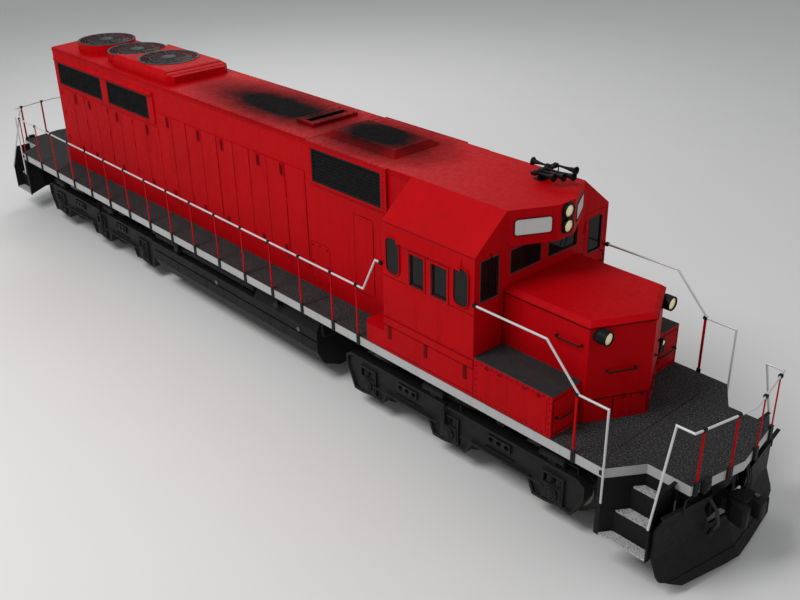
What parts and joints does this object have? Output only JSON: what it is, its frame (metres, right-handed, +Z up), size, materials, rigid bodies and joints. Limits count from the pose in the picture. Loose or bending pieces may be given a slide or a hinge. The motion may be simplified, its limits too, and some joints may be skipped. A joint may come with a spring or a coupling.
{
  "type": "diesel locomotive",
  "caption": "Six-axle diesel road-switcher locomotive with low short hood, cab, long hood and two swivelling three-axle bogies.",
  "frame": {"origin": "on the floor below the middle of the frame, at the height of the wheel flanges", "axes": "+X forwards to the short-hood end, +Y to the left, +Z up"},
  "size_m": [21.21, 3.078, 4.6989],
  "materials": {
    "red_paint": "semi-gloss",
    "pale_paint": "semi-gloss",
    "deck_tread": "rough non-slip",
    "step_tread": "worn",
    "black_paint": "satin",
    "engine_paint": "satin",
    "clear_glass": "polished",
    "seat_fabric": "matt",
    "console_paint": "satin",
    "board_white": "gloss",
    "cast_steel": "as cast, painted",
    "wheel_steel": "worn",
    "fan_metal": "dull",
    "lens_glass": "polished"
  },
  "bodies": {
    "carbody": {"air_reservoirs": "black_paint", "box_treads": "deck_tread", "cab_glass": "clear_glass", "cab_seats": "seat_fabric", "cab_shell": "red_paint", "control_stand": "console_paint", "cross_bearers": "black_paint", "draft_pockets": "black_paint", "edge_sill": "pale_paint", "engine_block": "engine_paint", "exhaust_stack": "black_paint", "fan_drums": "red_paint", "fan_guards": "black_paint", "fuel_tank": "black_paint", "handrail_posts": "red_paint", "handrails": "pale_paint", "hood_rear": "red_paint", "hood_roof": "red_paint", "hood_sides": "red_paint", "horn": "black_paint", "lamp_housings": "black_paint", "lamp_lenses": "lens_glass", "number_boards": "board_white", "plow": "black_paint", "rear_pilot": "black_paint", "roof_hatches": "red_paint", "short_hood": "red_paint", "side_grilles": "black_paint", "step_treads": "step_tread", "step_wells": "black_paint", "underframe": "black_paint", "walkway_boxes": "red_paint", "walkway_deck": "deck_tread"},
    "bogie_front": {"bogie_frame_front": "cast_steel", "journal_boxes_front": "cast_steel"},
    "bogie_rear": {"bogie_frame_rear": "cast_steel", "journal_boxes_rear": "cast_steel"},
    "cab_door_front": {"cab_door_front": "red_paint", "cab_door_front_glass": "clear_glass"},
    "cab_door_rear": {"cab_door_rear": "red_paint", "cab_door_rear_glass": "clear_glass"},
    "coupler_front": {"coupler_front": "cast_steel"},
    "coupler_rear": {"coupler_rear": "cast_steel"},
    "hood_door_left_1": {"hood_door_left_1": "red_paint"},
    "hood_door_left_2": {"hood_door_left_2": "red_paint"},
    "hood_door_left_3": {"hood_door_left_3": "red_paint"},
    "hood_door_left_4": {"hood_door_left_4": "red_paint"},
    "hood_door_right_1": {"hood_door_right_1": "red_paint"},
    "hood_door_right_2": {"hood_door_right_2": "red_paint"},
    "hood_door_right_3": {"hood_door_right_3": "red_paint"},
    "hood_door_right_4": {"hood_door_right_4": "red_paint"},
    "radiator_fan_1": {"radiator_fan_1": "fan_metal"},
    "radiator_fan_2": {"radiator_fan_2": "fan_metal"},
    "radiator_fan_3": {"radiator_fan_3": "fan_metal"},
    "wheelset_front_1": {"wheelset_front_1": "wheel_steel"},
    "wheelset_front_2": {"wheelset_front_2": "wheel_steel"},
    "wheelset_front_3": {"wheelset_front_3": "wheel_steel"},
    "wheelset_rear_1": {"wheelset_rear_1": "wheel_steel"},
    "wheelset_rear_2": {"wheelset_rear_2": "wheel_steel"},
    "wheelset_rear_3": {"wheelset_rear_3": "wheel_steel"}
  },
  "joints": [
    {"name": "bogie_front_swivel", "type": "hinge", "parent": "carbody", "child": "bogie_front", "pos_m": [6.025, 0, 0.99], "axis": [0, 0, 1], "range_deg": [-6, 6]},
    {"name": "bogie_rear_swivel", "type": "hinge", "parent": "carbody", "child": "bogie_rear", "pos_m": [-5.775, 0, 0.99], "axis": [0, 0, 1], "range_deg": [-6, 6]},
    {"name": "wheelset_front_1_spin", "type": "hinge", "parent": "bogie_front", "child": "wheelset_front_1", "pos_m": [8.075, 0, 0.536], "axis": [0, 1, 0], "continuous": true},
    {"name": "wheelset_front_2_spin", "type": "hinge", "parent": "bogie_front", "child": "wheelset_front_2", "pos_m": [5.955, 0, 0.536], "axis": [0, 1, 0], "continuous": true},
    {"name": "wheelset_front_3_spin", "type": "hinge", "parent": "bogie_front", "child": "wheelset_front_3", "pos_m": [3.975, 0, 0.536], "axis": [0, 1, 0], "continuous": true},
    {"name": "wheelset_rear_1_spin", "type": "hinge", "parent": "bogie_rear", "child": "wheelset_rear_1", "pos_m": [-7.825, 0, 0.536], "axis": [0, 1, 0], "continuous": true},
    {"name": "wheelset_rear_2_spin", "type": "hinge", "parent": "bogie_rear", "child": "wheelset_rear_2", "pos_m": [-5.705, 0, 0.536], "axis": [0, 1, 0], "continuous": true},
    {"name": "wheelset_rear_3_spin", "type": "hinge", "parent": "bogie_rear", "child": "wheelset_rear_3", "pos_m": [-3.725, 0, 0.536], "axis": [0, 1, 0], "continuous": true},
    {"name": "radiator_fan_1_spin", "type": "hinge", "parent": "carbody", "child": "radiator_fan_1", "pos_m": [-6.575, 0, 4.5], "axis": [0, 0, 1], "continuous": true},
    {"name": "radiator_fan_2_spin", "type": "hinge", "parent": "carbody", "child": "radiator_fan_2", "pos_m": [-5.155, 0, 4.5], "axis": [0, 0, 1], "continuous": true},
    {"name": "radiator_fan_3_spin", "type": "hinge", "parent": "carbody", "child": "radiator_fan_3", "pos_m": [-3.8, 0, 4.5], "axis": [0, 0, 1], "continuous": true},
    {"name": "cab_door_front_swing", "type": "hinge", "parent": "carbody", "child": "cab_door_front", "pos_m": [6.6993, 0.941, 3.1], "axis": [0, 0, 1], "range_deg": [-90, 0]},
    {"name": "cab_door_rear_swing", "type": "hinge", "parent": "carbody", "child": "cab_door_rear", "pos_m": [4.7207, -0.941, 3.1], "axis": [0, 0, 1], "range_deg": [-90, 0]},
    {"name": "hood_door_right_1_swing", "type": "hinge", "parent": "carbody", "child": "hood_door_right_1", "pos_m": [-1.894, -0.8923, 2.745], "axis": [0, 0, 1], "range_deg": [-110, 0]},
    {"name": "hood_door_right_2_swing", "type": "hinge", "parent": "carbody", "child": "hood_door_right_2", "pos_m": [-0.786, -0.8923, 2.745], "axis": [0, 0, 1], "range_deg": [0, 110]},
    {"name": "hood_door_right_3_swing", "type": "hinge", "parent": "carbody", "child": "hood_door_right_3", "pos_m": [0.306, -0.8923, 2.745], "axis": [0, 0, 1], "range_deg": [-110, 0]},
    {"name": "hood_door_right_4_swing", "type": "hinge", "parent": "carbody", "child": "hood_door_right_4", "pos_m": [1.414, -0.8923, 2.745], "axis": [0, 0, 1], "range_deg": [0, 110]},
    {"name": "hood_door_left_1_swing", "type": "hinge", "parent": "carbody", "child": "hood_door_left_1", "pos_m": [-1.894, 0.8923, 2.745], "axis": [0, 0, 1], "range_deg": [0, 110]},
    {"name": "hood_door_left_2_swing", "type": "hinge", "parent": "carbody", "child": "hood_door_left_2", "pos_m": [-0.786, 0.8923, 2.745], "axis": [0, 0, 1], "range_deg": [-110, 0]},
    {"name": "hood_door_left_3_swing", "type": "hinge", "parent": "carbody", "child": "hood_door_left_3", "pos_m": [0.306, 0.8923, 2.745], "axis": [0, 0, 1], "range_deg": [0, 110]},
    {"name": "hood_door_left_4_swing", "type": "hinge", "parent": "carbody", "child": "hood_door_left_4", "pos_m": [1.414, 0.8923, 2.745], "axis": [0, 0, 1], "range_deg": [-110, 0]},
    {"name": "coupler_front_swing", "type": "hinge", "parent": "carbody", "child": "coupler_front", "pos_m": [9.7, 0, 0.905], "axis": [0, 0, 1], "range_deg": [-7, 7]},
    {"name": "coupler_rear_swing", "type": "hinge", "parent": "carbody", "child": "coupler_rear", "pos_m": [-9.7, 0, 0.905], "axis": [0, 0, 1], "range_deg": [-7, 7]}
  ]
}
